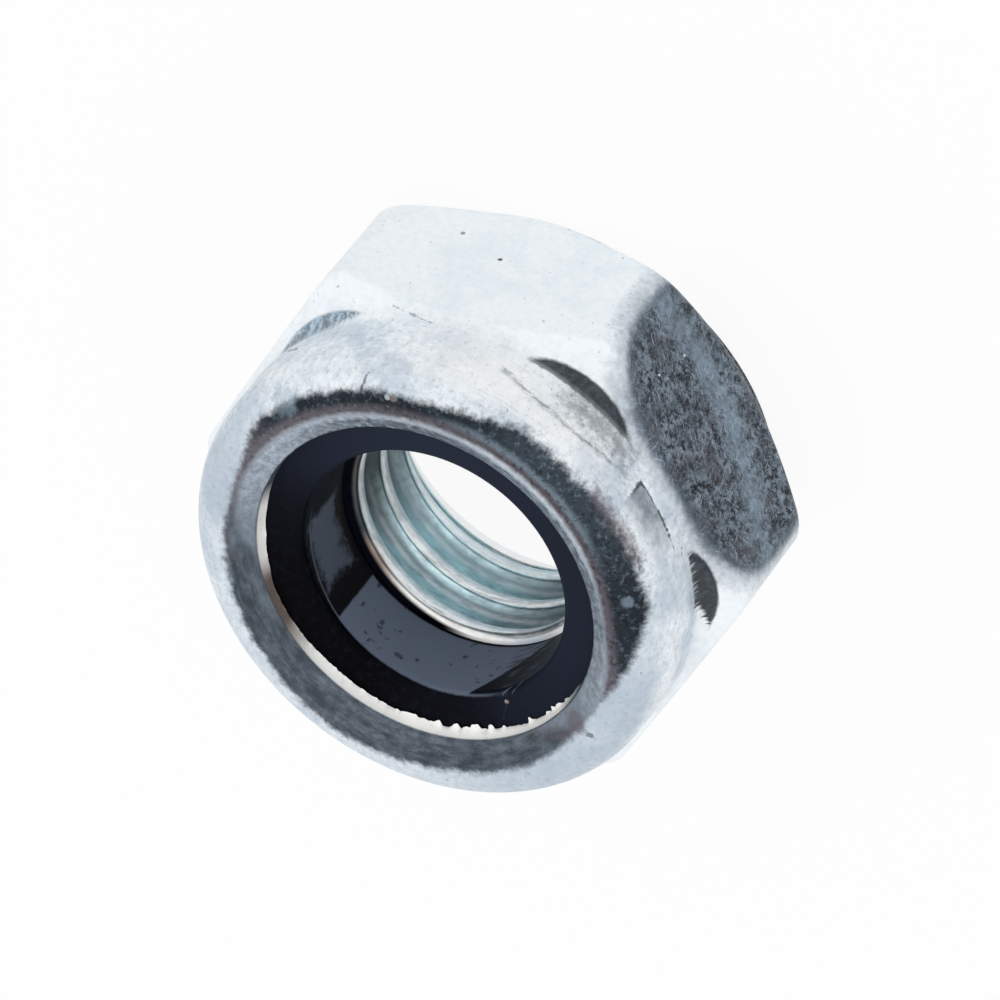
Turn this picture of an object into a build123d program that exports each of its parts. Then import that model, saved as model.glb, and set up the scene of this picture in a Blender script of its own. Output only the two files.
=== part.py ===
"""Nylon insert lock nut, M6 x 1, thin type, in millimetres, standing on its bearing face, +Z up."""

import os
from math import cos, radians, tan

from build123d import *

# Hexagon
across_flats = 10.0
hex_corner_round = 0.75
bearing_face_inset = 0.3
bearing_chamfer_angle = 40.0
flat_height = 3.65
top_chamfer_angle = 31.0

# Round collar that stands on the hexagon
collar_step = 0.13
collar_base_round = 0.4
collar_wall = 0.72
collar_shoulder_round = 0.78
total_height = 5.75

# Rim of the collar, rolled inward over the insert
rim_thickness = 0.5
rim_reach = 0.65
rim_crown_width = 0.18
rim_crown_round = 0.4
rim_slope_angle = 35.0
rim_edge_round = 0.07

# Threaded bore, plain here at the crests of the thread
thread_diameter = 6.0
thread_depth = 0.475
countersink_land = 0.25
countersink_depth = 1.1

# Nylon insert, which fills its pocket under the rim; the clearances are to the steel
insert_height = 1.85
insert_grip = 0.29
insert_dish_depth = 0.12
insert_bore_edge_round = 0.13
insert_side_clearance = 0.0
insert_roof_clearance = 0.0
pocket_roof_round = 0.25

# How far the turned shape is drawn past the hexagon that trims it
trim_margin = 0.5

# Distances from the axis
half_corner_angle = 30.0
flat_distance = across_flats / 2
trim_radius = flat_distance / cos(radians(half_corner_angle)) + trim_margin
bearing_radius = flat_distance - bearing_face_inset
collar_radius = flat_distance - collar_step
crown_inner_radius = collar_radius - collar_shoulder_round - rim_crown_width
pocket_radius = collar_radius - collar_wall
mouth_radius = pocket_radius - rim_reach
thread_radius = thread_diameter / 2
bore_radius = thread_radius - thread_depth
countersink_radius = thread_radius + countersink_land
insert_radius = pocket_radius - insert_side_clearance
insert_bore_radius = thread_radius - insert_grip

# Heights above the bearing face
pocket_roof_height = total_height - rim_thickness
pocket_floor_height = pocket_roof_height - insert_height
insert_top_height = pocket_roof_height - insert_roof_clearance
insert_bore_top_height = insert_top_height - insert_dish_depth


def bearing_chamfer_height(radius):
    """Height of the lower chamfer cone at this distance from the axis."""
    return (radius - bearing_radius) * tan(radians(bearing_chamfer_angle))


def top_chamfer_height(radius):
    """Height of the upper chamfer cone, which meets the middle of each flat at flat_height."""
    return flat_height - (radius - flat_distance) * tan(radians(top_chamfer_angle))


def rim_height(radius):
    """Height of the sloping top of the rolled rim at this distance from the axis."""
    return total_height - (crown_inner_radius - radius) * tan(radians(rim_slope_angle))


def corner_at(section, radius, height):
    """The corner of a half section that lies nearest to this radius and height."""
    return section.vertices().sort_by_distance((radius, height, 0))[0]


# Nut body: all that is turned about the axis, drawn as a half section
with BuildSketch(Plane.XZ) as body_section:
    with BuildLine():
        Polyline(
            (countersink_radius, 0),
            (bearing_radius, 0),
            (trim_radius, bearing_chamfer_height(trim_radius)),
            (trim_radius, top_chamfer_height(trim_radius)),
            (collar_radius, top_chamfer_height(collar_radius)),
            (collar_radius, total_height),
            (crown_inner_radius, total_height),
            (mouth_radius, rim_height(mouth_radius)),
            (mouth_radius, pocket_roof_height),
            (pocket_radius, pocket_roof_height),
            (pocket_radius, pocket_floor_height),
            (bore_radius, pocket_floor_height),
            (bore_radius, countersink_depth),
            close=True,
        )
    make_face()
    collar_base = corner_at(body_section, collar_radius, top_chamfer_height(collar_radius))
    fillet(collar_base, collar_base_round)
    fillet(corner_at(body_section, collar_radius, total_height), collar_shoulder_round)
    fillet(corner_at(body_section, crown_inner_radius, total_height), rim_crown_round)
    fillet(corner_at(body_section, mouth_radius, rim_height(mouth_radius)), rim_edge_round)
    fillet(corner_at(body_section, pocket_radius, pocket_roof_height), pocket_roof_round)

# The hexagon trims the turned shape; one flat faces +X and the others follow every 60 degrees
with BuildPart() as nut_body:
    with BuildSketch(Plane.XY) as hexagon:
        RegularPolygon(flat_distance, 6, major_radius=False, rotation=half_corner_angle)
        fillet(hexagon.vertices(), hex_corner_round)
    extrude(amount=total_height + trim_margin)
    revolve(body_section.sketch, axis=Axis.Z, mode=Mode.INTERSECT)

# Nylon insert: a ring that fills the pocket and shows through the mouth of the rim
with BuildSketch(Plane.XZ) as insert_section:
    with BuildLine():
        Polyline(
            (insert_bore_radius, pocket_floor_height),
            (insert_radius, pocket_floor_height),
            (insert_radius, insert_top_height),
            (mouth_radius, insert_top_height),
            (insert_bore_radius, insert_bore_top_height),
            close=True,
        )
    make_face()
    fillet(corner_at(insert_section, insert_radius, insert_top_height), pocket_roof_round)
    insert_bore_edge = corner_at(insert_section, insert_bore_radius, insert_bore_top_height)
    fillet(insert_bore_edge, insert_bore_edge_round)

with BuildPart() as nylon_insert:
    revolve(insert_section.sketch, axis=Axis.Z)

nut_body.part.label = "nut_body"
nylon_insert.part.label = "nylon_insert"

os.makedirs("parts", exist_ok=True)
export_step(nut_body.part, "parts/nut_body.step")
export_step(nylon_insert.part, "parts/nylon_insert.step")
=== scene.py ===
"""Looks of the nylon insert lock nut: its plated body, its insert, a stage and a camera."""

import math

import bpy
import numpy as np
from mathutils import Color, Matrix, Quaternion, Vector


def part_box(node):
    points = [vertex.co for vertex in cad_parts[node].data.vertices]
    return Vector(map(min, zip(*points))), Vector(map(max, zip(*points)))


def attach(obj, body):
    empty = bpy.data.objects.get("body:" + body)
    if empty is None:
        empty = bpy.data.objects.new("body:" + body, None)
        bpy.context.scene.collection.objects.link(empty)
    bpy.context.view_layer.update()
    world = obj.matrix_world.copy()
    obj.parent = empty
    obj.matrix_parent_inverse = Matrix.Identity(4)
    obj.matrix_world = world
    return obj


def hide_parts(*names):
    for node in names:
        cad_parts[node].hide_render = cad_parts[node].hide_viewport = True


bl_info = {
    "name": "Nylon insert lock nut",
    "version": (1, 0, 0),
    "blender": (4, 5, 0),
    "location": "View3D > Sidebar > Lock nut",
    "description": "Makes a plated hexagon lock nut with a nylon insert, and a plain stage for it",
    "category": "Add Mesh",
}

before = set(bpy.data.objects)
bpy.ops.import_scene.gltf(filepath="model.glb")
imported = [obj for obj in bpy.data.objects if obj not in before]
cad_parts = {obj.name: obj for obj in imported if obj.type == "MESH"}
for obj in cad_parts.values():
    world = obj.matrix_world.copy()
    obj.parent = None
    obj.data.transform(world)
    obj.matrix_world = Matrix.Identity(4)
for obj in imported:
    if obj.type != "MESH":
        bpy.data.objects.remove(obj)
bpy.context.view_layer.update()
NUT_LOW, NUT_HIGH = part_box("nut_body")
INSERT_LOW, INSERT_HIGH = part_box("nylon_insert")
MM = 0.001
CORNER_ANGLE = math.radians(30)
SECTOR_ANGLE = math.radians(60)
RIGHT_ANGLE = math.radians(90)
FULL_TURN = 2 * math.pi
TURN_DEGREES = 360.0


def length(name, description, millimetres):
    """A size that a user can change, kept in metres."""
    return bpy.props.FloatProperty(
        name=name, description=description, default=millimetres * MM, unit="LENGTH", precision=5
    )


def angle(name, description, degrees):
    """An angle that a user can change."""
    return bpy.props.FloatProperty(
        name=name, description=description, default=math.radians(degrees), subtype="ANGLE"
    )


def colour(name, description, screen_rgb):
    """A colour that a user can change, written as 0 to 255 on a screen and kept as linear light."""
    linear = [Color((c / 255, 0, 0)).from_srgb_to_scene_linear().r for c in screen_rgb]
    return bpy.props.FloatVectorProperty(
        name=name, description=description, default=linear, size=3, subtype="COLOR", min=0, max=1
    )


class NutSizes(bpy.types.PropertyGroup):
    """Sizes of the nut body."""

    across_flats: length("Across flats", "Spanner size", (NUT_HIGH[0] - NUT_LOW[0]) / MM)
    corner_round: length("Corner round", "Radius of the hexagon's upright corners", 0.75)
    edge_round: length("Edge round", "Width over which the hexagon's edges are blended", 0.14)
    bearing_inset: length("Bearing face inset", "From a flat in to the bearing face", 0.3)
    bearing_slope: angle("Bearing chamfer", "Slope of the chamfer below the flats", 40)
    flat_height: length("Flat height", "Height of a flat at its middle", 3.65)
    top_slope: angle("Top chamfer", "Slope of the chamfer above the flats", 31)
    collar_step: length("Collar step", "From a flat in to the collar", 0.13)
    collar_base_round: length("Collar base round", "Hollow round where the collar starts", 0.4)
    shoulder_round: length("Shoulder round", "Round at the top of the collar", 0.78)
    total_height: length("Total height", "Bearing face to crown", NUT_HIGH[2] / MM)
    crown_width: length("Crown width", "Flat top of the rolled rim", 0.18)
    crown_round: length("Crown round", "Round from the crown into the rim's slope", 0.4)
    rim_slope: angle("Rim slope", "Slope of the rim down towards the insert", 35)
    rim_thickness: length("Rim thickness", "Crown down to the top of the insert", 0.5)
    rim_edge_round: length("Rim edge round", "Round at the rim's inner edge", 0.07)
    mouth_radius: length("Mouth radius", "Radius of the opening in the rim", 3.5)
    pocket_radius: length("Pocket radius", "Radius of the pocket", INSERT_HIGH[0] / MM)
    pocket_floor: length("Pocket floor", "Height of the pocket's floor", INSERT_LOW[2] / MM)


class ThreadSizes(bpy.types.PropertyGroup):
    """Sizes of the thread and its countersink."""

    root_radius: length("Root radius", "Radius of the thread's roots", 3.0)
    crest_radius: length("Crest radius", "Radius of the thread's crests", 2.525)
    pitch: length("Pitch", "Rise of the thread in one turn", 1.0)
    crest_width: length("Crest width", "Width of the flat crest", 0.33)
    crest_height: length("Crest height", "Height of a crest's middle on the +X side", 0.71)
    countersink_radius: length("Countersink radius", "Radius at the bearing face", 3.25)
    countersink_depth: length("Countersink depth", "Depth at the crest radius", 1.1)


class InsertSizes(bpy.types.PropertyGroup):
    """Sizes of the nylon insert."""

    bore_radius: length("Bore radius", "Radius of the insert's bore", 2.71)
    dish_depth: length("Dish depth", "Fall of the insert's face towards its bore", 0.12)
    edge_round: length("Edge round", "Round at the mouth of the insert's bore", 0.17)


class Finishes(bpy.types.PropertyGroup):
    """Colours of the finishes, as they show on a screen."""

    zinc: colour("Zinc", "Bright zinc plate", (245, 251, 255))
    # White also serves for painted highlights and for the painted reflection at the thread's mouth.
    white: colour("White", "Whitest plate", (248, 250, 251))
    # Grey zinc also serves for the painted shade on the shoulder.
    zinc_grey: colour("Grey zinc", "Duller patches of the plate", (194, 208, 222))
    lavender: colour("Lavender", "Plate on the slope of the rim", (160, 170, 183))
    # Charcoal also serves for the painted dark reflections on one flat and on the crown's ring, and for
    # painted shade in the hollows.
    charcoal: colour("Charcoal", "Darkest stains", (48, 55, 62))
    # Slate also serves for painted shade on the rim, its torn face and the collar, and for the painted
    # dark reflections.
    slate: colour("Slate", "Dark glossy plate", (86, 96, 106))
    plum: colour("Plum", "Brownish stains", (104, 98, 106))
    # Steel also serves for the painted sheen on the crown's ring and for painted shade in one hollow.
    steel: colour("Steel", "Lighter smears over dark plate", (150, 170, 186))
    bare_edge: colour("Bare edge", "Torn bare metal at the rim's inner edge", (255, 255, 252))
    rust: colour("Rust", "Brown tint on the bare edge", (158, 142, 134))
    thread: colour("Thread", "Oily tint inside the thread", (190, 215, 222))
    # Dark nylon also serves for painted shadow lines under the insert and at its foot.
    nylon: colour("Nylon", "Dark nylon", (12, 13, 22))
    nylon_lit: colour("Lit nylon", "Nylon on the side that is lit", (36, 42, 58))
    nylon_sheen: colour("Nylon sheen", "Nylon where its bore shines", (110, 120, 138))
    floor: colour("Floor", "Floor of the stage", (243, 243, 243))


# Surfaces -----------------------------------------------------------------------------------

COLUMNS_PER_SECTOR = 56
RIM_COLUMNS_PER_COLUMN = 3
COLUMN_EVENNESS = 0.7
INSERT_COLUMNS = 320
THREAD_ROWS = 112
THREAD_FLANK = math.radians(60)
CREST_BLEND = 0.05 * MM
ROOT_BLEND = 0.12 * MM
COUNTERSINK_BLEND = 0.04 * MM
LEAD_IN_WIDTH = 0.1 * MM
LEAD_IN_BLEND = 0.03 * MM
BEARING_FACE_GAP = 0.02 * MM
INSERT_ROOF_ROUND = 0.25 * MM
INSERT_SHOULDER = 0.1 * MM
INSERT_FLOOR_WIDTH = 0.4 * MM
SHARP_ANGLE = math.radians(75)


def column_angles():
    """Azimuths of the columns: six sectors, each packed closer towards its corner.

    In a sector the azimuth is the corner's plus 30 degrees times (a t + (1 - a) t cubed), where
    t runs from -1 to 1 and a is the evenness.
    """
    t = np.linspace(-1, 1, COLUMNS_PER_SECTOR, endpoint=False)
    offset = CORNER_ANGLE * (COLUMN_EVENNESS * t + (1 - COLUMN_EVENNESS) * t**3)
    corners = CORNER_ANGLE + SECTOR_ANGLE * np.arange(6)
    return (corners[:, None] + offset[None, :]).ravel()


def finer_angles(angles, times):
    """Azimuths with each gap between columns cut into equal steps."""
    following = np.append(angles[1:], angles[0] + FULL_TURN)
    steps = np.arange(times) / times
    return (angles[:, None] + (following - angles)[:, None] * steps[None, :]).ravel()


def eased(rows, power=1.0, both=False):
    """Steps from 0 to 1, packed towards 1 by the power, or towards both ends."""
    t = np.linspace(0, 1, rows)
    if both:
        return 0.5 - 0.5 * np.cos(math.pi * t)
    return 1 - (1 - t) ** power


def soft_min(a, b, width):
    """The lesser of a and b, blended over the width where they are nearly equal."""
    overlap = np.maximum(width - np.abs(a - b), 0) / width
    return np.minimum(a, b) - overlap**2 * width / 4


def soft_max(a, b, width):
    """The greater of a and b, blended over the width where they are nearly equal."""
    return -soft_min(-a, -b, width)


def hexagon_radius(azimuth, flat_distance, corner_round):
    """Distance from the axis to a hexagon with rounded corners.

    With t the angle from the nearest corner, the flat lies at flat distance / cos(30 degrees - t).
    The corner is an arc whose middle lies d = (flat distance - round) / cos 30 degrees out, at
    d cos t + square root of (round squared - (d sin t) squared), up to where it meets the flat.
    """
    t = np.abs((azimuth % SECTOR_ANGLE) - CORNER_ANGLE)
    flat = flat_distance / np.cos(CORNER_ANGLE - t)
    middle = (flat_distance - corner_round) / math.cos(CORNER_ANGLE)
    meeting = CORNER_ANGLE - math.atan(middle * math.sin(CORNER_ANGLE) / flat_distance)
    inside = np.maximum(corner_round**2 - (middle * np.sin(t)) ** 2, 0)
    arc = middle * np.cos(t) + np.sqrt(inside)
    return np.where(t < meeting, arc, flat)


def arc_points(middle, radius, start, end, rows):
    """Points on an arc in a half section: middle + radius (cos a, sin a), a in degrees."""
    a = np.radians(np.linspace(start, end, rows))
    return np.column_stack([middle[0] + radius * np.cos(a), middle[1] + radius * np.sin(a)])


def run_points(start, end, rows):
    """Points on a straight run in a half section, without its first point."""
    t = np.linspace(0, 1, rows + 1)[1:, None]
    return np.array(start) * (1 - t) + np.array(end) * t


def revolved(profile, angles):
    """Radii and heights of a half section carried round the axis, as rows of columns."""
    ones = np.ones(len(angles))
    return profile[:, :1] * ones, profile[:, 1:] * ones


def stacked(*surfaces):
    """Radii and heights of several surfaces, each going on where the last one ends."""
    return [np.vstack(rows) for rows in zip(*surfaces)]


def side_of_hexagon(size, angles):
    """Chamfers, flats and the hollow round at the collar's base.

    At each azimuth the radius is the soft least of the hexagon, the lower chamfer cone and the
    upper profile, and the rows of heights follow the edges where these meet.
    """
    flat_distance = size.across_flats / 2
    bearing_radius = flat_distance - size.bearing_inset
    collar_radius = flat_distance - size.collar_step
    hexagon = hexagon_radius(angles, flat_distance, size.corner_round)[None, :]
    hollow = size.collar_base_round
    cone_fall = math.tan(size.top_slope)
    cone_at_collar = size.flat_height + size.collar_step * cone_fall
    hollow_run = hollow * math.tan(RIGHT_ANGLE / 2 - size.top_slope / 2)
    hollow_top = cone_at_collar + hollow_run
    hollow_foot = cone_at_collar - hollow_run * math.sin(size.top_slope)

    def lower_radius(z):
        return bearing_radius + z / math.tan(size.bearing_slope)

    def upper_radius(z):
        cone = flat_distance + (size.flat_height - z) / cone_fall
        drop = np.clip(hollow_top - z, 0, hollow)
        arc = collar_radius + hollow - np.sqrt(hollow**2 - drop**2)
        return np.where(z < hollow_foot, cone, arc)

    low = (hexagon - bearing_radius) * math.tan(size.bearing_slope)
    high_cone = size.flat_height - (hexagon - flat_distance) * cone_fall
    into_hollow = np.clip(collar_radius + hollow - hexagon, 0, hollow)
    high_arc = hollow_top - np.sqrt(hollow**2 - into_hollow**2)
    high = np.where(high_cone < hollow_foot, high_cone, high_arc)
    blend = size.edge_round
    upper_blend = blend * 0.6
    below_edge = low - blend * 0.2
    bearing_edge = bearing_radius - blend * 0.1
    low_rows = eased(rows=12, power=1.8)[:, None] * below_edge
    flat_rows = low + (high - low) * eased(rows=22, both=True)[:, None]
    high_rows = hollow_top - (hollow_top - high) * (1 - eased(rows=22, power=0.6)[1:, None])
    z = np.vstack([low_rows, flat_rows, high_rows])
    radius = soft_min(soft_min(lower_radius(z), hexagon, blend), upper_radius(z), upper_blend)
    radius = np.maximum(radius, collar_radius)
    radius[0] = bearing_edge
    return radius, z


def collar_profile(size):
    """Half section from the collar's base over the shoulder and crown, part way down the rim."""
    collar_radius = size.across_flats / 2 - size.collar_step
    shoulder = size.shoulder_round
    top = size.total_height
    crown_inner = collar_radius - shoulder - size.crown_width
    slope = math.degrees(size.rim_slope)
    bend_run = size.crown_round * math.tan(size.rim_slope / 2)
    base = size.flat_height + size.collar_step * math.tan(size.top_slope)
    base += size.collar_base_round * math.tan(RIGHT_ANGLE / 2 - size.top_slope / 2)
    shoulder_start = top - shoulder
    wall = run_points((collar_radius, base), (collar_radius, shoulder_start), rows=6)
    over = arc_points((collar_radius - shoulder, shoulder_start), shoulder, 0, 90, rows=24)[1:]
    bend_middle = (crown_inner + bend_run, top - size.crown_round)
    bend = arc_points(bend_middle, size.crown_round, 90, 90 + slope, rows=8)
    return np.vstack([wall, over, bend])


def rim_height(size, radius):
    """Height of the rim's sloping top at a radius."""
    crown_inner = size.across_flats / 2 - size.collar_step - size.shoulder_round - size.crown_width
    return size.total_height - (crown_inner - radius) * math.tan(size.rim_slope)


def smooth_noise(angles, cycles, seed):
    """Periodic noise between -1 and 1: random values a number of times a turn, joined smoothly."""
    values = np.random.default_rng(seed).uniform(-1, 1, cycles)
    place = angles / FULL_TURN * cycles
    before = np.floor(place).astype(int)
    share = place - before
    share = share * share * (3 - 2 * share)
    return values[before % cycles] * (1 - share) + values[(before + 1) % cycles] * share


TORN_REACH_MM = (
    (60, 0.01), (75, 0.07), (90, 0.11), (103, 0.08), (110, 0.03), (122, 0.04), (140, 0.09),
    (160, 0.11), (180, 0.12), (205, 0.12), (225, 0.10), (240, 0.05), (255, 0.01),
)
TORN_TEETH_MM = (
    (70, 0.0), (130, 0.01), (165, 0.02), (178, 0.06), (225, 0.06), (240, 0.01), (255, 0.0),
)
LIP_WAVES = 60
LIP_UNEVENNESS = 0.12
LIP_POWER = 1.3
FINE_TEETH = 330
COARSE_TEETH = 130
DEEPEST_GAP = -0.4
TEETH_POWER = 7


def round_the_axis(points, angles):
    """Values that follow (degrees, millimetres) points round the axis, in metres."""
    degrees = np.degrees(angles) % TURN_DEGREES
    return np.interp(degrees, *zip(*points), period=TURN_DEGREES) * MM


def torn_reach(angles, down):
    """How far the torn inner face reaches inward: a smooth lip, with teeth along its foot.

    With down the share of the face's depth from 0 to 1, the lip grows as down to the lip power
    and the teeth as down to the teeth power.
    """
    waves = 1 + smooth_noise(angles, LIP_WAVES, seed=1) * LIP_UNEVENNESS
    lip = round_the_axis(TORN_REACH_MM, angles) * waves
    spikes = smooth_noise(angles, FINE_TEETH, seed=2) + smooth_noise(angles, COARSE_TEETH, seed=3)
    teeth = round_the_axis(TORN_TEETH_MM, angles) * np.maximum(spikes, DEEPEST_GAP)
    return lip * down**LIP_POWER + teeth * down**TEETH_POWER


def rim_surface(size, start, angles):
    """Radii and heights of the rim's inner part: slope, rounded edge and torn inner face."""
    slope = math.degrees(size.rim_slope)
    edge = size.rim_edge_round
    mouth = size.mouth_radius
    roof = size.total_height - size.rim_thickness
    edge_run = edge * math.tan(RIGHT_ANGLE / 2 - size.rim_slope / 2)
    corner = rim_height(size, mouth)
    edge_out_radius = mouth + edge_run * math.cos(size.rim_slope)
    edge_out_height = corner + edge_run * math.sin(size.rim_slope)
    slope_rows = run_points(start, (edge_out_radius, edge_out_height), rows=8)
    edge_rows = arc_points((mouth + edge, corner - edge_run), edge, 90 + slope, 180, rows=7)[1:]
    face_rows = run_points((mouth, corner - edge_run), (mouth, roof), rows=9)
    radius, z = revolved(np.vstack([slope_rows, edge_rows, face_rows]), angles)
    down = np.clip((corner - z) / (corner - roof), 0, 1)
    return radius - torn_reach(angles, down), z


def pocket_profile(size, bore_radius):
    """Half section of the pocket that the insert fills: roof, wall and floor."""
    roof = size.total_height - size.rim_thickness
    under = run_points((size.mouth_radius, roof), (size.pocket_radius, roof), rows=2)
    foot = (size.pocket_radius, size.pocket_floor)
    wall = run_points((size.pocket_radius, roof), foot, rows=2)
    floor = run_points(foot, (bore_radius, size.pocket_floor), rows=3)
    return np.vstack([under, wall, floor])


def thread_surface(size, thread, angles):
    """The threaded bore from the pocket floor down to the bearing face.

    The crest's height rises by one pitch in a turn, anticlockwise seen from the rim. With u the
    distance in height from the nearest crest, the radius is the crest radius up to half the crest
    width, then grows as u times the tangent of the flank angle to the root radius. The countersink
    cone and a narrow cone under the pocket floor take over wherever they are wider.
    """
    z = size.pocket_floor * (1 - np.linspace(0, 1, THREAD_ROWS))[:, None] * np.ones(len(angles))
    turn = angles[None, :] / FULL_TURN
    crest = thread.crest_height + turn * thread.pitch
    u = np.abs((z - crest + thread.pitch / 2) % thread.pitch - thread.pitch / 2)
    flank = thread.crest_radius + (u - thread.crest_width / 2) * math.tan(THREAD_FLANK)
    radius = soft_max(flank, np.full_like(flank, thread.crest_radius), CREST_BLEND)
    radius = soft_min(radius, np.full_like(flank, thread.root_radius), ROOT_BLEND)
    narrowing = (thread.countersink_radius - thread.crest_radius) / thread.countersink_depth
    cone = thread.countersink_radius - z * narrowing
    lead_in = thread.crest_radius + LEAD_IN_WIDTH - (size.pocket_floor - z)
    radius = soft_max(radius, cone, COUNTERSINK_BLEND)
    return soft_max(radius, lead_in, LEAD_IN_BLEND), z


def grid_points(radius, z, angles):
    """Points of a surface given by radii and heights on rows of columns."""
    x = radius * np.cos(angles)
    y = radius * np.sin(angles)
    return np.stack([x, y, z], axis=-1).reshape(-1, 3)


def grid_quads(rows, columns, first=0):
    """Faces between the rows of a surface that closes round the axis."""
    i = np.arange(rows - 1)[:, None] * columns + first
    j = np.arange(columns)[None, :]
    k = (j + 1) % columns
    quads = np.stack([i + j, i + k, i + k + columns, i + j + columns], axis=-1)
    return quads.reshape(-1, 4)


def joined_quads(row_a, row_b):
    """Faces that join two closed rows with as many columns each."""
    return np.column_stack([row_a, np.roll(row_a, -1), np.roll(row_b, -1), row_b])


def bridge_triangles(row_a, row_b):
    """Triangles that join a row of columns to a row with several times as many, or the reverse."""
    flipped = len(row_a) > len(row_b)
    coarse, fine = (row_b, row_a) if flipped else (row_a, row_b)
    times = len(fine) // len(coarse)
    j = np.arange(len(coarse))
    here, there = coarse[j], coarse[(j + 1) % len(coarse)]
    fans = [
        np.column_stack([here, fine[(j * times + n + 1) % len(fine)], fine[j * times + n]])
        for n in range(times)
    ]
    closing = np.column_stack([here, there, fine[((j + 1) * times) % len(fine)]])
    triangles = np.vstack(fans + [closing])
    return triangles[:, ::-1] if flipped else triangles


def mesh_of(name, points, faces):
    """A mesh from points and faces, with smooth shading broken at sharp edges."""
    mesh = bpy.data.meshes.new(name)
    mesh.from_pydata(points, [], [face.tolist() for group in faces for face in group])
    mesh.shade_smooth()
    mesh.set_sharp_from_angle(angle=SHARP_ANGLE)
    mesh.validate()
    return mesh


def enclosed_volume(points, faces):
    """Signed volume inside closed faces: the sum of a . (b x c) / 6 over their triangles."""
    total = 0.0
    for group in faces:
        a = points[group[:, 0]]
        for n in range(1, group.shape[1] - 1):
            b, c = points[group[:, n]], points[group[:, n + 1]]
            total += np.einsum("ij,ij->i", a, np.cross(b, c)).sum() / 6
    return total


def outward(points, faces):
    """The same faces, turned round if they enclose a negative volume."""
    if enclosed_volume(points, faces) < 0:
        return [group[:, ::-1] for group in faces]
    return faces


def nut_body_surface(size, thread):
    """Points and faces of the whole nut body, as one closed surface."""
    angles = column_angles()
    fine = finer_angles(angles, RIM_COLUMNS_PER_COLUMN)
    bearing_end = size.across_flats / 2 - size.bearing_inset - BEARING_FACE_GAP
    bearing = run_points((thread.countersink_radius, 0), (bearing_end, 0), rows=4)
    collar = collar_profile(size)
    side = side_of_hexagon(size, angles)
    outer_rows = stacked(revolved(bearing, angles), side, revolved(collar, angles))
    rim_rows = rim_surface(size, collar[-1], fine)
    pocket = pocket_profile(size, thread.root_radius)
    inner_rows = stacked(revolved(pocket, angles), thread_surface(size, thread, angles))

    outer = grid_points(*outer_rows, angles)
    rim = grid_points(*rim_rows, fine)
    inner = grid_points(*inner_rows, angles)
    points = np.vstack([outer, rim, inner])
    row, fine_row = np.arange(len(angles)), np.arange(len(fine))
    rim_first = len(outer)
    inner_first = rim_first + len(rim)
    outer_last = row + rim_first - len(row)
    rim_last = fine_row + inner_first - len(fine_row)
    inner_last = row + len(points) - len(row)
    faces = [
        grid_quads(len(outer_rows[0]), len(row)),
        bridge_triangles(outer_last, fine_row + rim_first),
        grid_quads(len(rim_rows[0]), len(fine_row), rim_first),
        bridge_triangles(rim_last, row + inner_first),
        grid_quads(len(inner_rows[0]), len(row), inner_first),
        joined_quads(inner_last, row),
    ]
    return points, outward(points, faces)


def insert_surface(size, insert):
    """Points and faces of the nylon ring, as one closed surface."""
    angles = np.linspace(0, FULL_TURN, INSERT_COLUMNS, endpoint=False)
    roof = size.total_height - size.rim_thickness
    floor = size.pocket_floor
    wall_radius = size.pocket_radius
    bore, edge, bend = insert.bore_radius, insert.edge_round, INSERT_ROOF_ROUND
    front = roof - insert.dish_depth
    shoulder = (size.mouth_radius + INSERT_SHOULDER, roof)
    profile = np.vstack([
        [(bore + INSERT_FLOOR_WIDTH, floor), (wall_radius, floor)],
        run_points((wall_radius, floor), (wall_radius, roof - bend), rows=2),
        arc_points((wall_radius - bend, roof - bend), bend, 0, 90, rows=6)[1:],
        [shoulder],
        run_points(shoulder, (bore + edge, front), rows=14),
        arc_points((bore + edge, front - edge), edge, 90, 180, rows=12)[1:],
        run_points((bore, front - edge), (bore, floor), rows=24),
    ])
    points = grid_points(*revolved(profile, angles), angles)
    row = np.arange(INSERT_COLUMNS)
    last_row = row + len(points) - INSERT_COLUMNS
    faces = [grid_quads(len(profile), INSERT_COLUMNS), joined_quads(last_row, row)]
    return points, outward(points, faces)


# Materials ----------------------------------------------------------------------------------

MM_PER_DEGREE = 0.083
DRAWN_RADIUS = 4.3
CURVE_TOP = 10.0
MIX_INPUTS = (0, 6, 7)
MIX_RESULT = 2


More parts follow.
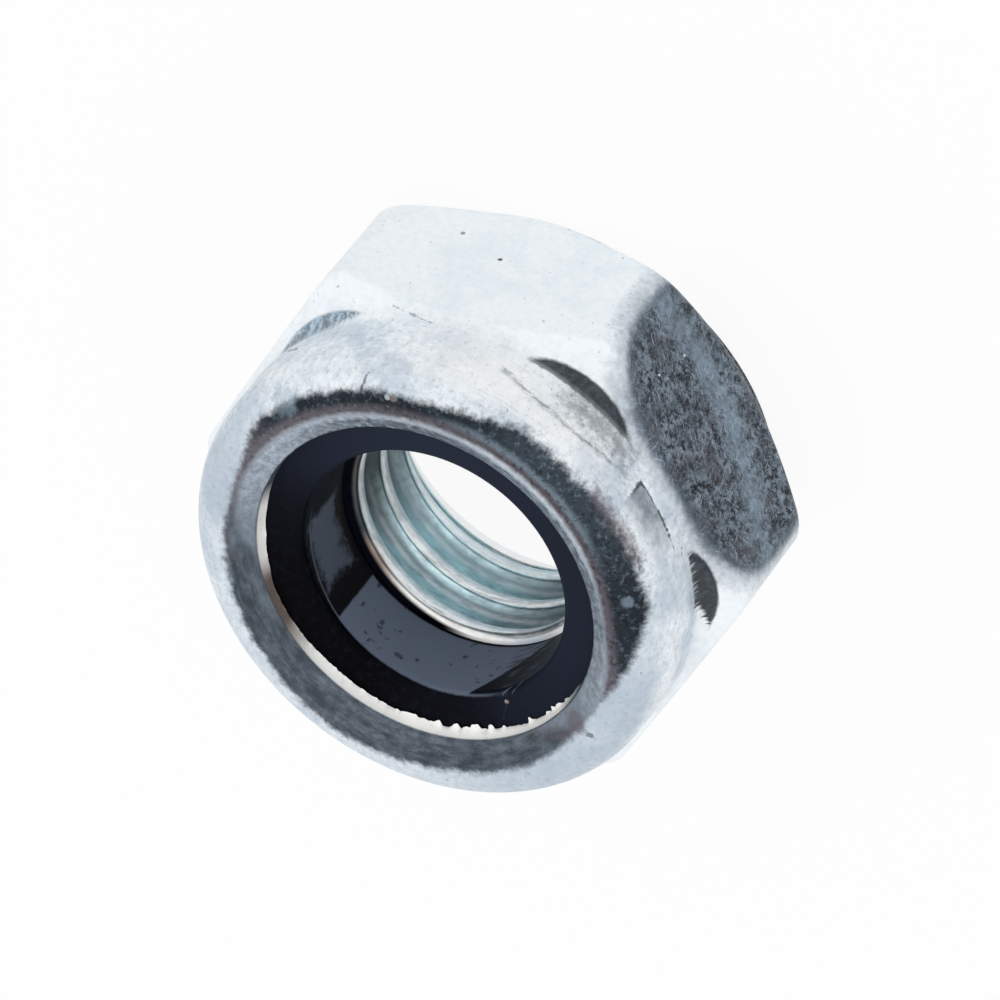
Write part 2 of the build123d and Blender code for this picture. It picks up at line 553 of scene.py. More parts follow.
class Nodes:
    """Short ways to add and join the nodes of one material, with lengths in millimetres."""

    def __init__(self, name):
        self.material = bpy.data.materials.new(name)
        self.material.use_nodes = True
        self.tree = self.material.node_tree
        self.shader = self.tree.nodes["Principled BSDF"]
        metres = self.add("ShaderNodeTexCoord").outputs["Object"]
        self.place = self.scaled(metres, (1 / MM, 1 / MM, 1 / MM))
        self.x, self.y, self.z = self.add("ShaderNodeSeparateXYZ", {0: self.place}).outputs
        x_square, y_square = self.product(self.x, self.x), self.product(self.y, self.y)
        self.radius = self.maths("SQRT", self.plus(x_square, y_square))
        turn = self.maths("DIVIDE", self.maths("ARCTAN2", self.y, self.x), FULL_TURN)
        self.turn = self.maths("FRACT", self.plus(turn, 1.0))
        self.azimuth = self.product(self.turn, TURN_DEGREES)
        self.unrolled = self.vector(self.product(self.turn, DRAWN_RADIUS * FULL_TURN), self.z)
        heading = [self.maths("DIVIDE", side, self.radius) for side in (self.x, self.y)]
        circle = [self.product(side, DRAWN_RADIUS) for side in heading]
        self.circle = self.vector(*circle, self.z)
        self.grain = self.noise(7.0, 4.0, 0.7)
        self.drift = self.noise(1.4, 2.0)

    def join(self, value, socket):
        """Gives a socket a plain value, or links another node's result to it."""
        if isinstance(value, bpy.types.NodeSocket):
            self.tree.links.new(value, socket)
        else:
            socket.default_value = value

    def add(self, kind, inputs=(), **settings):
        """A new node with its settings made and its inputs joined."""
        node = self.tree.nodes.new(kind)
        for key, value in settings.items():
            setattr(node, key, value)
        for socket, value in dict(inputs).items():
            self.join(value, node.inputs[socket])
        return node

    def vector(self, *parts):
        """A place made of two or three values."""
        return self.add("ShaderNodeCombineXYZ", dict(enumerate(parts))).outputs[0]

    def scaled(self, vector, scale):
        """A place with each of its three values multiplied by its own scale."""
        return self.add("ShaderNodeVectorMath", {0: vector, 1: scale}, operation="MULTIPLY").outputs[0]

    def distance(self, a, b):
        """How far apart two places are."""
        return self.add("ShaderNodeVectorMath", {0: a, 1: b}, operation="DISTANCE").outputs["Value"]

    def noise(self, scale, detail=3.0, roughness=0.5, place=None):
        """Noise with about this many features a millimetre."""
        inputs = {"Vector": place or self.place, "Scale": scale, "Detail": detail}
        return self.add("ShaderNodeTexNoise", {**inputs, "Roughness": roughness}).outputs["Fac"]

    def drawn(self, along, across, detail=3.0, roughness=0.5):
        """Noise drawn out round the axis without a seam, by features a millimetre along and across."""
        inputs = {
            "Vector": self.scaled(self.circle, (along, along, across)),
            "W": self.product(self.radius, across),
            "Scale": 1.0,
            "Detail": detail,
            "Roughness": roughness,
        }
        return self.add("ShaderNodeTexNoise", inputs, noise_dimensions="4D").outputs["Fac"]

    def streaks(self, along, across, turn, place):
        """Noise drawn out into streaks on a flat place, turned by an angle."""
        inputs = {"Vector": place, "Angle": turn}
        turned = self.add("ShaderNodeVectorRotate", inputs, rotation_type="Z_AXIS").outputs[0]
        return self.noise(1.0, 2.0, 0.5, self.scaled(turned, (along, across, across)))

    def ramp(self, value, low, high, start=0.0, end=1.0):
        """A smooth step from start to end while a value goes from low to high."""
        inputs = {"Value": value, "From Min": low, "From Max": high, "To Min": start, "To Max": end}
        return self.add("ShaderNodeMapRange", inputs, interpolation_type="SMOOTHSTEP").outputs["Result"]

    def fall(self, value, low, high):
        """A smooth step from 1 down to 0 while a value goes from low to high."""
        return self.ramp(value, low, high, 1.0, 0.0)

    def maths(self, operation, a, b=0.0, c=0.0):
        """The result of one sum on up to three values."""
        node = self.add("ShaderNodeMath", operation=operation)
        for socket, value in zip(node.inputs, (a, b, c)):
            self.join(value, socket)
        return node.outputs[0]

    def plus(self, a, b):
        """The sum of two values."""
        return self.maths("ADD", a, b)

    def minus(self, a, b):
        """The first value less the second."""
        return self.maths("SUBTRACT", a, b)

    def size_of(self, value):
        """A value without its sign."""
        return self.maths("ABSOLUTE", value)

    def least(self, *values):
        """The least of several values."""
        result = values[0]
        for value in values[1:]:
            result = self.maths("MINIMUM", result, value)
        return result

    def product(self, *values):
        """Several values multiplied together."""
        result = values[0]
        for value in values[1:]:
            result = self.maths("MULTIPLY", result, value)
        return result

    def within(self, value, low, high):
        """How far a value lies inside a range, negative outside it."""
        return self.least(self.minus(value, low), self.minus(high, value))

    def arc(self, middle, half_width):
        """How far inside a span of azimuth a place is, in millimetres on the collar."""
        from_opposite = self.plus(self.azimuth, 1.5 * TURN_DEGREES - middle)
        turned = self.maths("MODULO", from_opposite, TURN_DEGREES)
        away = self.size_of(self.minus(turned, TURN_DEGREES / 2))
        return self.product(self.minus(half_width, away), MM_PER_DEGREE)

    def ragged_outline(self, inside, softness=0.03, raggedness=0.1, noise=None):
        """A mask from a distance inside an outline, whose edge is broken up by noise."""
        uneven = self.maths("MULTIPLY_ADD", noise or self.grain, raggedness * 2, -raggedness)
        return self.ramp(self.plus(inside, uneven), -softness, softness)

    def around(self, points):
        """A value that follows (degrees, value) points round the axis, for values up to 10."""
        node = self.add("ShaderNodeFloatCurve", {"Value": self.turn})
        curve = node.mapping.curves[0]
        for degrees, value in points[1:-1]:
            curve.points.new(degrees / TURN_DEGREES, value / CURVE_TOP)
        curve.points[0].location = (0, points[0][1] / CURVE_TOP)
        curve.points[-1].location = (1, points[-1][1] / CURVE_TOP)
        node.mapping.update()
        return self.product(node.outputs[0], CURVE_TOP)

    def tones(self, stops, along=None, whole=TURN_DEGREES):
        """A colour that follows (place, colour) stops, in degrees round the axis if nothing else."""
        node = self.add("ShaderNodeValToRGB", {"Fac": along or self.turn})
        elements = node.color_ramp.elements
        elements[0].position, elements[0].color = 0.0, with_alpha(stops[0][1])
        elements[1].position, elements[1].color = 1.0, with_alpha(stops[-1][1])
        for place, rgb in stops[1:-1]:
            elements.new(place / whole).color = with_alpha(rgb)
        return node.outputs["Color"]

    def mix(self, factor, a, b):
        """A colour or value that goes from a to b as the factor goes from 0 to 1."""
        linked = bpy.types.NodeSocket
        parts = [part if isinstance(part, linked) else with_alpha(part) for part in (a, b)]
        inputs = dict(zip(MIX_INPUTS, (factor, *parts)))
        return self.add("ShaderNodeMix", inputs, data_type="RGBA").outputs[MIX_RESULT]

    def over(self, ground, tone, *masks):
        """A ground with a tone laid over it, as strongly as the masks multiply to."""
        return self.mix(self.product(*masks), ground, tone)

    def to_shader(self, **inputs):
        """Joins values to the material's shader, by the names of its inputs."""
        for label, value in inputs.items():
            self.join(value, self.shader.inputs[label.replace("_", " ")])


def with_alpha(rgb):
    """A colour as a shader takes it."""
    return (rgb[0], rgb[1], rgb[2], 1.0)


def toned(rgb, share):
    """A colour with its light multiplied: darker by a share below 1, lighter above it."""
    return [c * share for c in rgb]


FLAT_DISTANCE_MM = 5.0
CHAMFER_FALL = 0.6
# How strongly painted shade greys the outer shoulder, by azimuth.
SHOULDER_SHADE = (
    (0, 0.1), (45, 0.3), (60, 0.8), (69, 0.9), (85, 0.6), (97, 0.35), (130, 0.3), (180, 0.5), (202, 0.8),
    (240, 0.8), (255, 0.9), (270, 0.4), (300, 0.1), (360, 0.1),
)


def zinc_ground(n, finish):
    """Bright plate with duller patches, fine grain, hair lines and sparse dark specks, with painted
    highlights on the collar and the top chamfer and painted shade on the shoulder.
    """
    on_collar = n.ramp(n.z, 3.4, 4.2, 0.14, 0.75)
    patch = n.ramp(n.noise(0.9, 4.0, 0.6), 0.42, 0.66)
    ground = n.over(finish.zinc, finish.zinc_grey, patch, on_collar)
    fine = n.ramp(n.grain, 0.35, 0.7)
    ground = n.over(ground, toned(finish.zinc_grey, 0.75), fine, on_collar, 0.5)
    # Painted highlight: whiter plate in a band round part of the collar.
    collar_highlight = n.ragged_outline(n.arc(340.0, 22.0), 0.9, 0.5, n.drift)
    between = n.product(n.ramp(n.z, 3.7, 4.1), n.fall(n.z, 5.2, 5.5))
    ground = n.over(ground, finish.white, collar_highlight, between, 0.7)
    hairs = n.ramp(n.drawn(1.6, 16.0, 4.0, 0.7), 0.56, 0.7)
    ground = n.over(ground, toned(finish.lavender, 0.9), hairs, on_collar, 0.4)
    # Painted shade: the outer shoulder greyed round part of the axis.
    painted_shade = n.product(n.around(SHOULDER_SHADE), n.ramp(n.z, 5.0, 5.5), 0.9)
    ground = n.mix(painted_shade, ground, toned(finish.zinc_grey, 0.85))
    # Painted highlight: whiter plate along the chamfer above the flats.
    chamfer = n.plus(n.z, n.product(n.plus(n.radius, -FLAT_DISTANCE_MM), CHAMFER_FALL))
    chamfer_highlight = n.product(n.ramp(chamfer, 3.6, 3.68), n.fall(n.z, 3.8, 4.0))
    ground = n.over(ground, finish.white, chamfer_highlight, 0.25)
    pepper = n.ramp(n.noise(10.0, 4.0, 0.7), 0.56, 0.68)
    ground = n.over(ground, finish.slate, pepper, on_collar, 0.3)
    specks = n.ramp(n.noise(8.0, 2.0, 0.5), 0.66, 0.74)
    sparse = n.ramp(n.drift, 0.45, 0.6)
    return n.over(ground, toned(finish.slate, 1.3), specks, sparse, 0.5)


DARK_HALF_WIDTH_MM = 2.78
DARK_HALF_HEIGHT_MM = 2.12
DARK_MIDDLE_MM = 1.6
SMEAR_LOWEST_MM = 0.9
SMEAR_BOW = 0.11
SMEAR_HEIGHT_MM = 1.12
SMEAR_HALF_WIDTH_MM = 0.2


def flat_hairs(n, finish, across, tone):
    """Fine pale hair scratches over the dark flat, in three directions."""
    flat_place = n.vector(across, n.z)
    for turn, strength in ((0.5, 0.6), (1.3, 0.45), (-0.6, 0.45)):
        hairs = n.ramp(n.streaks(2.6, 24.0, turn, flat_place), 0.62, 0.76)
        tone = n.over(tone, finish.zinc_grey, hairs, strength)
    return tone


def flat_smear(n, finish, across, tone):
    """A paler smear along the dark flat, bowed, with its middle line as a parabola."""
    bend = n.plus(across, -SMEAR_LOWEST_MM)
    middle = n.maths("MULTIPLY_ADD", n.product(bend, bend), SMEAR_BOW, SMEAR_HEIGHT_MM)
    smear = n.minus(SMEAR_HALF_WIDTH_MM, n.size_of(n.minus(n.z, middle)))
    smear = n.ragged_outline(smear, 0.45, 1.3, n.noise(2.2, 6.0, 0.8))
    return n.over(tone, finish.steel, smear, 0.6)


def speckled_flat_reflection(n, finish):
    """The dark flat's painted dark reflection: charcoal with speckles, paler grains, dark blotches and
    brownish drifts.
    """
    speckle = n.ramp(n.noise(5.0, 6.0, 0.9), 0.44, 0.58)
    tone = n.mix(speckle, toned(finish.charcoal, 0.35), toned(finish.slate, 2.3))
    pale = n.ramp(n.noise(7.0, 5.0, 0.85), 0.53, 0.62)
    tone = n.over(tone, finish.lavender, pale, 0.75)
    blotch = n.ramp(n.noise(1.3, 4.0, 0.75), 0.42, 0.6)
    tone = n.over(tone, toned(finish.charcoal, 0.9), blotch, 0.5)
    return n.mix(n.ramp(n.drift, 0.5, 0.65, 0.0, 0.35), tone, toned(finish.plum, 0.7))


def share_cubed(n, value, half):
    """A value as a share of a half size, without its sign and cubed."""
    return n.maths("POWER", n.size_of(n.maths("DIVIDE", value, half)), 3.0)


def dark_flat_reflection(n, finish, ground):
    """One flat carries a painted dark reflection: charcoal, speckled and hair-scratched, with a paler
    smear across it.

    Its outline is a rounded oblong: the cubed shares of its half width and half height add to 1.
    """
    sixty_cos, sixty_sin = math.cos(SECTOR_ANGLE), math.sin(SECTOR_ANGLE)
    across = n.plus(n.product(n.x, sixty_sin), n.product(n.y, sixty_cos))
    outward = n.minus(n.product(n.x, sixty_cos), n.product(n.y, sixty_sin))
    wide = share_cubed(n, across, DARK_HALF_WIDTH_MM)
    tall = share_cubed(n, n.plus(n.z, -DARK_MIDDLE_MM), DARK_HALF_HEIGHT_MM)
    inside = n.minus(1.0, n.plus(wide, tall))
    on_flat = n.ramp(outward, 4.55, 4.7)
    # A lavender fringe where the painted reflection fades out round its outline.
    fringe = n.product(n.ragged_outline(n.plus(inside, 0.26), 0.34, 0.3), on_flat, 0.75)
    ground = n.mix(fringe, ground, finish.lavender)
    tone = flat_smear(n, finish, across, speckled_flat_reflection(n, finish))
    # The painted reflection is lighter towards its outline.
    tone = n.mix(n.ramp(inside, 0.05, 0.4, 0.5, 0.0), tone, toned(finish.slate, 1.4))
    tone = flat_hairs(n, finish, across, tone)
    area = n.product(n.ragged_outline(inside, 0.12, 0.1), on_flat)
    return n.mix(area, ground, tone)


RING_OUTER_MM = (
    (0, 4.42), (20, 4.46), (38, 4.44), (50, 4.38), (57, 4.18), (66, 4.06), (85, 4.03), (105, 4.05),
    (130, 4.14), (150, 4.21), (168, 4.15), (185, 4.07), (210, 4.05), (226, 3.99), (238, 3.93),
    (248, 3.98), (256, 4.14), (264, 4.32), (273, 4.55), (283, 4.73), (293, 4.72), (310, 4.67),
    (322, 4.7), (334, 4.7), (342, 4.58), (350, 4.48), (360, 4.42),
)
RING_INNER_MM = (
    (0, 3.97), (55, 3.93), (75, 3.88), (88, 3.74), (97, 3.5), (110, 3.45), (215, 3.45), (226, 3.6),
    (238, 3.86), (250, 3.97), (260, 3.95), (272, 3.87), (288, 3.91), (300, 3.98), (360, 3.97),
)
ROUGH_SIDE = ((0, 1.0), (48, 1.0), (80, 0.5), (100, 0.25), (225, 0.25), (255, 1.0), (360, 1.0))


def ring_tones(n, finish, outward):
    """Tones of the ring's painted dark reflection round the axis, with a browner band along its inner
    edge.
    """
    charcoal, slate, plum = finish.charcoal, finish.slate, finish.plum
    outer_tone = n.tones((
        (0, toned(charcoal, 0.6)), (45, toned(charcoal, 0.75)), (60, plum), (85, toned(plum, 0.85)),
        (100, toned(slate, 0.55)), (118, toned(slate, 0.62)), (140, toned(slate, 0.78)),
        (175, toned(slate, 0.68)), (228, toned(slate, 0.65)), (244, plum),
        (262, toned(charcoal, 0.9)), (285, toned(charcoal, 0.8)), (305, toned(charcoal, 1.6)),
        (330, toned(charcoal, 1.7)), (345, toned(charcoal, 0.7)), (360, toned(charcoal, 0.6)),
    ))
    inner_tone = n.tones((
        (0, toned(plum, 0.7)), (70, toned(plum, 1.1)), (90, toned(slate, 1.1)),
        (110, toned(slate, 0.75)), (180, toned(slate, 0.9)), (215, toned(slate, 0.7)),
        (245, toned(plum, 1.0)), (300, toned(plum, 0.7)), (360, toned(plum, 0.7)),
    ))
    return n.mix(n.ramp(outward, 0.12, 0.3), inner_tone, outer_tone)


def ring_grain(n, finish, tone):
    """Specks and pits on the ring's rough side, and soft clouds on its smooth side."""
    rough_side = n.around(ROUGH_SIDE)
    smooth_side = n.minus(1.2, rough_side)
    speck = n.ramp(n.noise(8.0, 4.0, 0.75), 0.5, 0.72)
    tone = n.over(tone, finish.steel, speck, rough_side, 0.28)
    pit = n.ramp(n.noise(9.0, 3.0, 0.7, n.scaled(n.place, (1.1, 0.9, 1.0))), 0.5, 0.66)
    tone = n.over(tone, toned(finish.charcoal, 0.45), pit, rough_side, 0.5)
    cloud = n.ramp(n.drawn(1.4, 6.0, 5.0, 0.7), 0.38, 0.66)
    tone = n.over(tone, finish.zinc_grey, cloud, smooth_side, 0.16)
    shade = n.ramp(n.noise(2.6, 6.0, 0.8), 0.45, 0.62)
    return n.over(tone, toned(finish.charcoal, 1.1), shade, smooth_side, 0.4)


def crown_ring(n, finish, ground):
    """A painted dark reflection on the crown's smooth ring: charcoal and speckled on one side, slate and
    glossy on the other, with a painted sheen band.
    """
    outer = n.around(RING_OUTER_MM)
    inner = n.around(RING_INNER_MM)
    bristled = n.product(n.ragged_outline(n.arc(269.0, 12.0), 0.3, 0.0), 0.5)
    ragged = n.mix(bristled, n.noise(3.5, 6.0, 0.75), n.drawn(12.0, 3.0, 3.0, 0.6))
    inside_outer = n.ragged_outline(n.minus(outer, n.radius), 0.1, 0.2, ragged)
    outward = n.minus(n.radius, inner)
    inside_inner = n.ragged_outline(outward, 0.09, 0.05)
    area = n.product(inside_outer, inside_inner, n.ramp(n.z, 5.1, 5.3))
    tone = ring_tones(n, finish, outward)
    band = n.product(n.ramp(outward, 0.12, 0.22), n.fall(outward, 0.24, 0.36))
    sheen = n.product(band, n.ragged_outline(n.arc(325.0, 24.0), 0.8, 0.0), 0.4)
    tone = ring_grain(n, finish, n.mix(sheen, tone, finish.steel))
    return n.mix(area, ground, tone)


SLOPE_SHADE = (
    (0, 0.1), (55, 0.1), (72, 0.35), (88, 0.7), (232, 0.7), (250, 0.45), (275, 0.1), (360, 0.1),
)
SLOPE_EDGE_SHADE = ((0, 1.0), (40, 1.0), (70, 0.0), (228, 0.0), (250, 1.0), (360, 1.0))


def rim_slope(n, finish, ground):
    """The rim's slope down to the insert is a streaky lavender grey, with painted shade round part of it
    and along its very edge.
    """
    slope = n.product(n.ragged_outline(n.minus(3.97, n.radius), 0.08, 0.05), n.ramp(n.z, 5.3, 5.4))
    streak = n.mix(0.8, n.drawn(5.0, 1.0, 3.0, 0.6), n.grain)
    tone = n.mix(n.ramp(streak, 0.36, 0.66), toned(finish.lavender, 0.75), finish.zinc_grey)
    tone = n.mix(n.around(SLOPE_SHADE), tone, toned(finish.slate, 1.2))
    # Painted shade along the rim's rounded inner edge.
    edge = n.fall(n.radius, 3.47, 3.56)
    tone = n.over(tone, toned(finish.slate, 0.45), edge, n.around(SLOPE_EDGE_SHADE), 0.9)
    return n.mix(slope, ground, tone)


def torn_edge(n, finish, ground):
    """The inner face of the rim is torn bare metal, browned at one place, with painted shade round one
    side, and with its own mask.
    """
    below = n.fall(n.z, 5.42, 5.46)
    inner = n.fall(n.radius, 3.52, 3.55)
    above = n.ramp(n.z, 5.2, 5.22)
    # The darker slate round one side is painted shade.
    painted_shade, bare, browned = toned(finish.slate, 0.8), finish.bare_edge, toned(finish.rust, 0.6)
    tone = n.tones((
        (0, painted_shade), (68, painted_shade), (78, bare), (98, bare), (106, browned), (122, browned), (134, bare),
        (232, bare), (246, painted_shade), (360, painted_shade),
    ))
    tone = n.over(tone, finish.rust, n.ramp(n.grain, 0.56, 0.68), 0.2)
    area = n.product(below, inner, above)
    return n.mix(area, ground, tone), area


HOLLOW_RADIUS_MM = 4.87
COLLAR_RADIUS_MM = 4.86
HOLLOW_TOP_MM = 3.94


def hollow_shade(n, ground, middle, half_width, reach, inset, bristle, shade, strength):
    """A crescent of painted shade in the hollow between the collar and one corner of the hexagon."""
    offset = n.maths("DIVIDE", n.minus(n.azimuth, middle), half_width)
    bulge = n.minus(1.0, n.product(offset, offset))
    outer = n.maths("MULTIPLY_ADD", bulge, reach, HOLLOW_RADIUS_MM)
    one_side = n.maths("MAXIMUM", n.product(offset, -1.0), 0.0)
    inner = n.maths("MULTIPLY_ADD", one_side, inset, COLLAR_RADIUS_MM)
    below = n.least(n.minus(outer, n.radius), n.minus(HOLLOW_TOP_MM, n.z))
    ragged_outline = n.ragged_outline(below, 0.03, 0.03)
    lines = n.drawn(22.0, 1.0, 2.0)
    cleared = n.ragged_outline(n.minus(n.radius, inner), 0.04, bristle, lines)
    area = n.product(ragged_outline, cleared, n.ramp(n.z, 3.2, 3.3))
    tone = n.mix(n.ramp(n.grain, 0.42, 0.62), toned(shade, 0.45), toned(shade, 1.5))
    return n.over(ground, tone, area, strength)


SCRATCH_MIDDLE = 327.0
SCRATCH_BOW = 0.0009
SCRATCH_HEIGHT_MM = 4.8
SCRATCH_HALF_WIDTH_MM = 0.035
PATCH_END = 306.0
PATCH_FOOT_MM = 4.29
PATCH_RIM_MM = 0.05


def collar_scratch(n, finish, ground):
    """A broken scratch that bows along the collar."""
    off = n.plus(n.azimuth, -SCRATCH_MIDDLE)
    line = n.maths("MULTIPLY_ADD", n.product(off, off), -SCRATCH_BOW, SCRATCH_HEIGHT_MM)
    near_line = n.minus(SCRATCH_HALF_WIDTH_MM, n.size_of(n.minus(n.z, line)))
    broken = n.drawn(5.0, 16.0, 5.0, 0.85)
    scratch = n.ragged_outline(n.least(near_line, n.arc(328.0, 17.0)), 0.07, 0.3, broken)
    return n.over(ground, finish.slate, scratch, 0.6)


def collar_wall_shade(n, finish, ground):
    """Grey painted shade on the collar between the scratch and the hexagon, above the shade in the
    hollow.
    """
    wall_shade = n.least(n.arc(320.5, 9.5), n.within(n.z, 3.95, 4.45))
    wall_shade = n.ragged_outline(wall_shade, 0.35, 0.8, n.noise(5.0, 5.0, 0.8))
    return n.over(ground, finish.slate, wall_shade, 0.6)


def chipped_patch(n, finish, ground):
    """A patch of duller plate low on the collar, with a square corner and a dark chipped outline."""
    before_edge = n.product(n.minus(PATCH_END, n.azimuth), MM_PER_DEGREE)
    corner = n.least(before_edge, n.plus(n.z, -PATCH_FOOT_MM))
    faded = n.product(n.ramp(n.azimuth, 286.0, 300.0), n.fall(n.z, 4.6, 5.3))
    patch = n.product(n.ragged_outline(corner, 0.03, 0.06), faded)
    mottle = n.ramp(n.noise(3.0, 5.0, 0.7), 0.35, 0.65)
    tone = n.mix(mottle, finish.lavender, toned(finish.slate, 1.3))
    ground = n.over(ground, tone, patch, 0.85)
    rim = n.least(corner, n.minus(PATCH_RIM_MM, corner), n.within(n.azimuth, 288.0, 307.0))
    rim = n.ragged_outline(rim, 0.02, 0.12, n.noise(5.0, 4.0, 0.7))
    return n.over(ground, finish.charcoal, rim, n.fall(n.z, 4.5, 4.8), 0.8)


def brown_patch(n, finish, ground):
    """A brown patch on the shoulder, just outside the ring."""
    brown = n.least(n.arc(303.0, 10.0), n.within(n.radius, 4.5, 4.81), n.plus(n.z, -5.3))
    return n.over(ground, finish.plum, n.ragged_outline(brown, 0.16, 0.16), 0.95)


def scratch_line(n, ground, start, end, width, tone, strength):
    """A thin broken line between two places given in millimetres."""
    run = Vector(end) - Vector(start)
    from_start = n.add("ShaderNodeVectorMath", {0: n.place, 1: start}, operation="SUBTRACT").outputs[0]
    along = {0: from_start, 1: run / run.length_squared}
    share = n.add("ShaderNodeVectorMath", along, operation="DOT_PRODUCT").outputs["Value"]
    share = n.maths("MINIMUM", n.maths("MAXIMUM", share, 0.0), 1.0)
    nearest = n.add("ShaderNodeVectorMath", {0: run, "Scale": share}, operation="SCALE").outputs[0]
    line = n.ragged_outline(n.minus(width, n.distance(from_start, nearest)), width * 0.5, width * 2.5)
    return n.over(ground, tone, line, strength)


def plate_spot(n, ground, place, size, tone, strength):
    """A small irregular spot at a place given in millimetres."""
    spot = n.ragged_outline(n.minus(size, n.distance(n.place, place)), size * 0.3, size * 0.9)
    return n.over(ground, tone, spot, strength)


THREAD_SHADE = (
    (0, 0.0), (72, 0.0), (88, 0.95), (105, 0.85), (120, 0.5), (140, 0.0), (165, 0.0), (180, 0.2),
    (200, 0.5), (214, 0.6), (230, 0.0), (360, 0.0),
)
MOUTH_HEIGHT_MM = (
    (0, 0.52), (155, 0.52), (163, 0.6), (171, 0.74), (177, 0.6), (190, 0.52), (360, 0.52),
)
CREST_PHASE = 0.5
TURNS_TO_LEDGE = 2


def thread_grooves(n, finish, phase):
    """Painted highlights on white crests, a painted shade line just below them and streaky tinted
    grooves painted lighter against the bore's shade, by the place in a pitch, with its crest at 0.5.
    """
    tint = finish.thread
    groove = toned(tint, 1.7)
    tone = n.tones((
        (0.0, groove), (0.30, toned(tint, 1.3)), (0.37, toned(tint, 0.9)), (0.42, finish.zinc_grey),
        (0.50, finish.white), (0.58, finish.white), (0.66, groove), (0.72, toned(tint, 1.1)),
        (0.76, toned(tint, 0.6)), (0.80, finish.zinc), (0.84, toned(tint, 1.2)), (0.90, groove),
        (1.0, groove),
    ), phase, 1.0)
    flow = n.ramp(n.drawn(1.1, 9.0, 4.0, 0.7), 0.42, 0.66)
    tone = n.over(tone, toned(tint, 0.4), flow, 0.55)
    glow = n.ramp(n.drawn(1.3, 12.0, 4.0, 0.7), 0.55, 0.7)
    return n.over(tone, finish.zinc, glow, 0.5)


def thread_ledge(n, finish, over_crest, tone):
    """A cream ledge where the thread ends under the insert, browned on one side, with a painted shadow
    line above it.
    """
    cream = n.tones((
        (0, finish.rust), (112, toned(finish.slate, 0.6)), (120, finish.rust), (130, finish.rust),
        (146, finish.bare_edge), (190, finish.bare_edge), (210, finish.zinc_grey),
        (360, finish.zinc_grey),
    ))
    tone = n.mix(n.ramp(over_crest, 0.08, 0.12), tone, cream)
    # Painted shadow: a dark line under the insert.
    return n.mix(n.ramp(over_crest, 0.18, 0.23), tone, toned(finish.nylon, 0.8))


def thread_tint(n, finish, thread, ground):
    """The bore: a tinted thread with painted shade on one side, a white mouth painted as a reflection of
    the floor, and a ledge at its end.

    Heights are taken less the thread's rise, which is 1 mm a turn, so that its turns lie level.
    """
    tint = finish.thread
    crest = thread.crest_height / MM
    height = n.minus(n.z, n.turn)
    phase = n.maths("FRACT", n.plus(height, CREST_PHASE - crest))
    tone = thread_grooves(n, finish, phase)
    from_crest = n.size_of(n.minus(phase, CREST_PHASE))
    # Painted shade on one side of the bore.
    painted_thread_shade = n.product(n.around(THREAD_SHADE), n.ramp(from_crest, 0.06, 0.2, 0.45, 1.0))
    tone = n.mix(painted_thread_shade, tone, toned(tint, 0.12))
    tone = n.mix(n.ramp(n.z, 1.3, 1.75, 0.35, 0.0), tone, tint)
    # Painted reflection: the mouth is white where it mirrors the white floor below.
    mouth = n.ragged_outline(n.minus(n.around(MOUTH_HEIGHT_MM), n.z), 0.05, 0.12)
    tone = n.mix(mouth, tone, finish.white)
    tone = thread_ledge(n, finish, n.minus(height, crest + TURNS_TO_LEDGE), tone)
    in_bore = n.product(n.fall(n.radius, 3.2, 3.3), n.fall(n.z, 3.41, 3.45))
    return n.mix(in_bore, ground, tone)


# Crescents of painted shade in the hollows at three corners of the hexagon.
# Middle and half width in degrees, reach and inset in millimetres, raggedness, colour, strength
HOLLOW_SHADES = (
    (328.0, 14.0, 0.19, 0.0, 0.0, "charcoal", 0.95),
    (270.5, 13.5, 0.32, 0.34, 0.13, "charcoal", 0.95),
    (35.0, 14.0, 0.2, 0.1, 0.06, "steel", 0.9),
)
# Start, end and width in millimetres, colour, strength
PLATE_SCRATCHES = (
    ((4.82, 1.43, 3.65), (4.86, 0.53, 3.88), 0.02, "lavender", 0.8),
    ((3.3, 3.65, 3.9), (3.75, 3.1, 4.3), 0.03, "slate", 0.6),
    ((4.28, 1.1, 5.69), (4.6, 1.05, 5.46), 0.025, "slate", 0.7),
)
# Place and size in millimetres, colour, strength
PLATE_SPOTS = (
    ((5.0, 0.13, 1.7), 0.045, "charcoal", 0.9),
    ((5.0, 1.13, 1.21), 0.05, "slate", 0.7),
    ((3.56, 2.73, 5.64), 0.3, "steel", 0.4),
    ((4.33, 0.55, 5.7), 0.05, "zinc", 0.45),
    ((4.33, 0.42, 5.7), 0.06, "rust", 0.5),
    ((3.89, -3.53, 2.52), 0.05, "charcoal", 1.0),
    ((3.95, -3.49, 2.5), 0.025, "white", 0.8),
    ((3.8, -3.56, 1.55), 0.03, "white", 0.7),
    ((1.1, -4.3, 5.67), 0.12, "steel", 0.45),
    ((-2.04, -3.23, 5.69), 0.24, "plum", 0.65),
    ((-2.2, -3.57, 5.74), 0.07, "slate", 0.7),
    ((1.79, -4.5, 4.33), 0.05, "charcoal", 0.8),
    ((1.9, -4.48, 4.31), 0.04, "charcoal", 0.8),
)
# From the lowest layer up
PLATE_LAYERS = (
    dark_flat_reflection, collar_scratch, collar_wall_shade, chipped_patch, brown_patch, rim_slope, crown_ring,
)
GRAIN_HEIGHT = 0.004 * MM
TORN_METALLIC = 0.15


